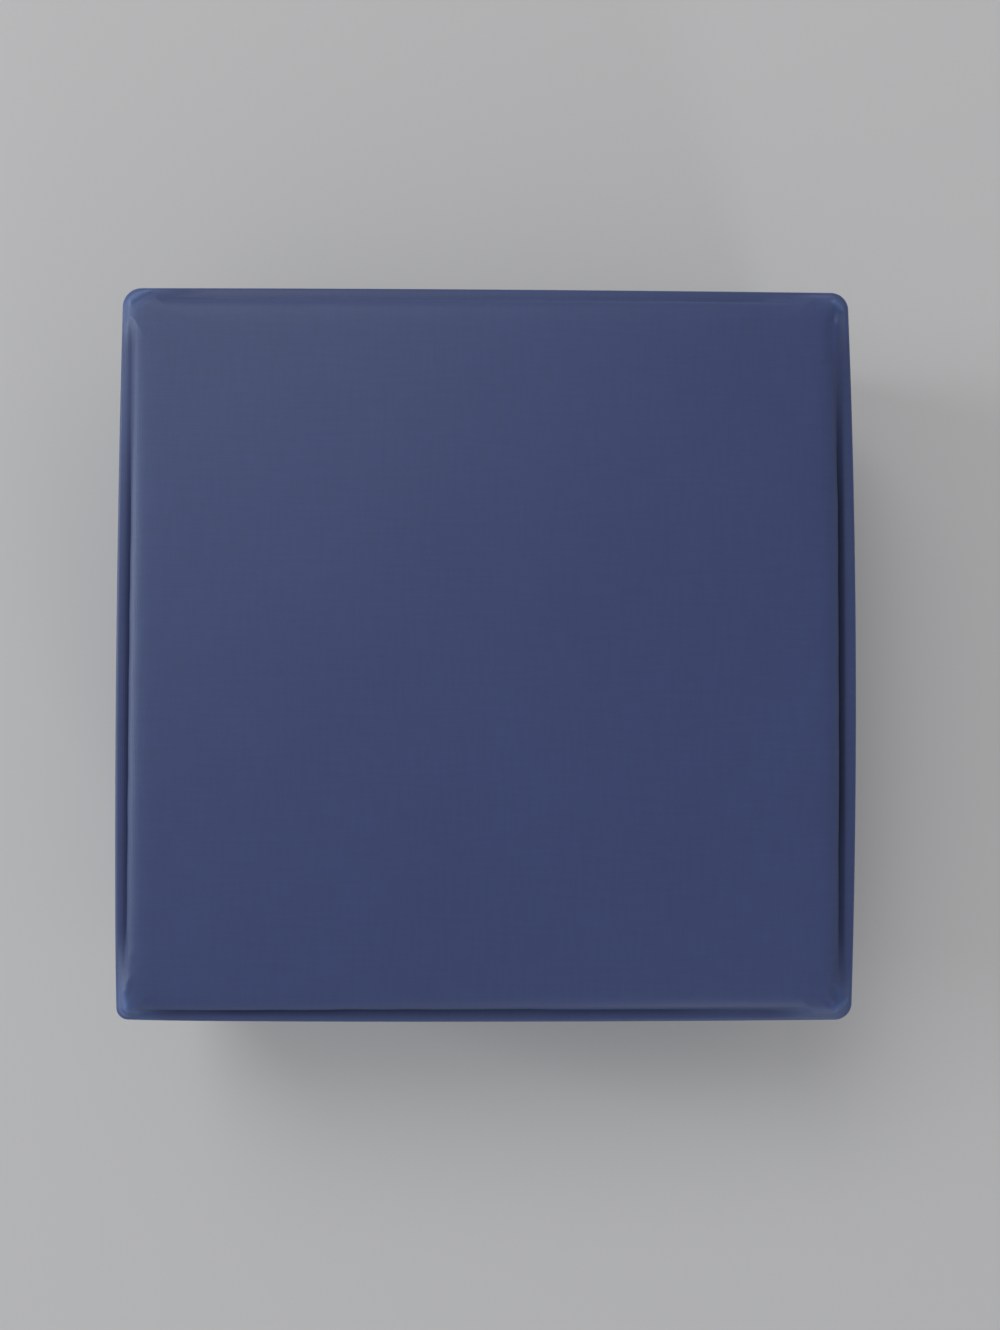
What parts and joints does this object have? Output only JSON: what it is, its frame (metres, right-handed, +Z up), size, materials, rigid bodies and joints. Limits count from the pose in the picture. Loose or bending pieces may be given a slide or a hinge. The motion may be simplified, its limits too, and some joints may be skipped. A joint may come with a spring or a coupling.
{
  "type": "presentation box",
  "caption": "Square board presentation box covered in blue woven cloth, with a padded lid on a cloth hinge, a locating neck, and satin linings over wadding in base and lid",
  "frame": {"origin": "under the middle of the closed box, on the surface that it stands on", "axes": "+X to the right seen from the front, +Y to the hinge at the back, +Z up out of the lid"},
  "size_m": [0.152, 0.151, 0.052],
  "materials": {
    "blue_cloth": "woven book cloth with a low sheen",
    "greyboard": "plain millboard",
    "paper_tape": "gummed kraft tape",
    "foam": "soft open foam",
    "white_card": "smooth card",
    "wadding": "polyester wadding",
    "satin": "ivory satin",
    "blue_paper": "matt laid paper"
  },
  "bodies": {
    "base": {"base_floor_board": "greyboard", "base_front_wall": "greyboard", "base_back_wall": "greyboard", "base_left_wall": "greyboard", "base_right_wall": "greyboard", "base_corner_stays": "paper_tape", "base_cover": "blue_cloth", "underside_filler": "white_card", "underside_paper": "blue_paper", "neck_front": "greyboard", "neck_left": "greyboard", "neck_right": "greyboard", "back_liner": "greyboard", "neck_lining": "satin", "floor_card": "white_card", "floor_wadding": "wadding", "floor_satin": "satin", "hinge_strip": "blue_cloth"},
    "lid": {"lid_top_board": "greyboard", "lid_front_wall": "greyboard", "lid_back_wall": "greyboard", "lid_left_wall": "greyboard", "lid_right_wall": "greyboard", "lid_corner_stays": "paper_tape", "lid_pad": "foam", "lid_cover": "blue_cloth", "lid_wall_lining": "satin", "lid_lining_card": "white_card", "lid_lining_wadding": "wadding", "lid_lining_satin": "satin"}
  },
  "joints": [
    {"name": "lid_hinge", "type": "hinge", "parent": "base", "child": "lid", "pos_m": [0, 0.07565, 0.03], "axis": [-1, 0, 0], "range_deg": [0, 175], "deforming": ["hinge_strip"]}
  ]
}
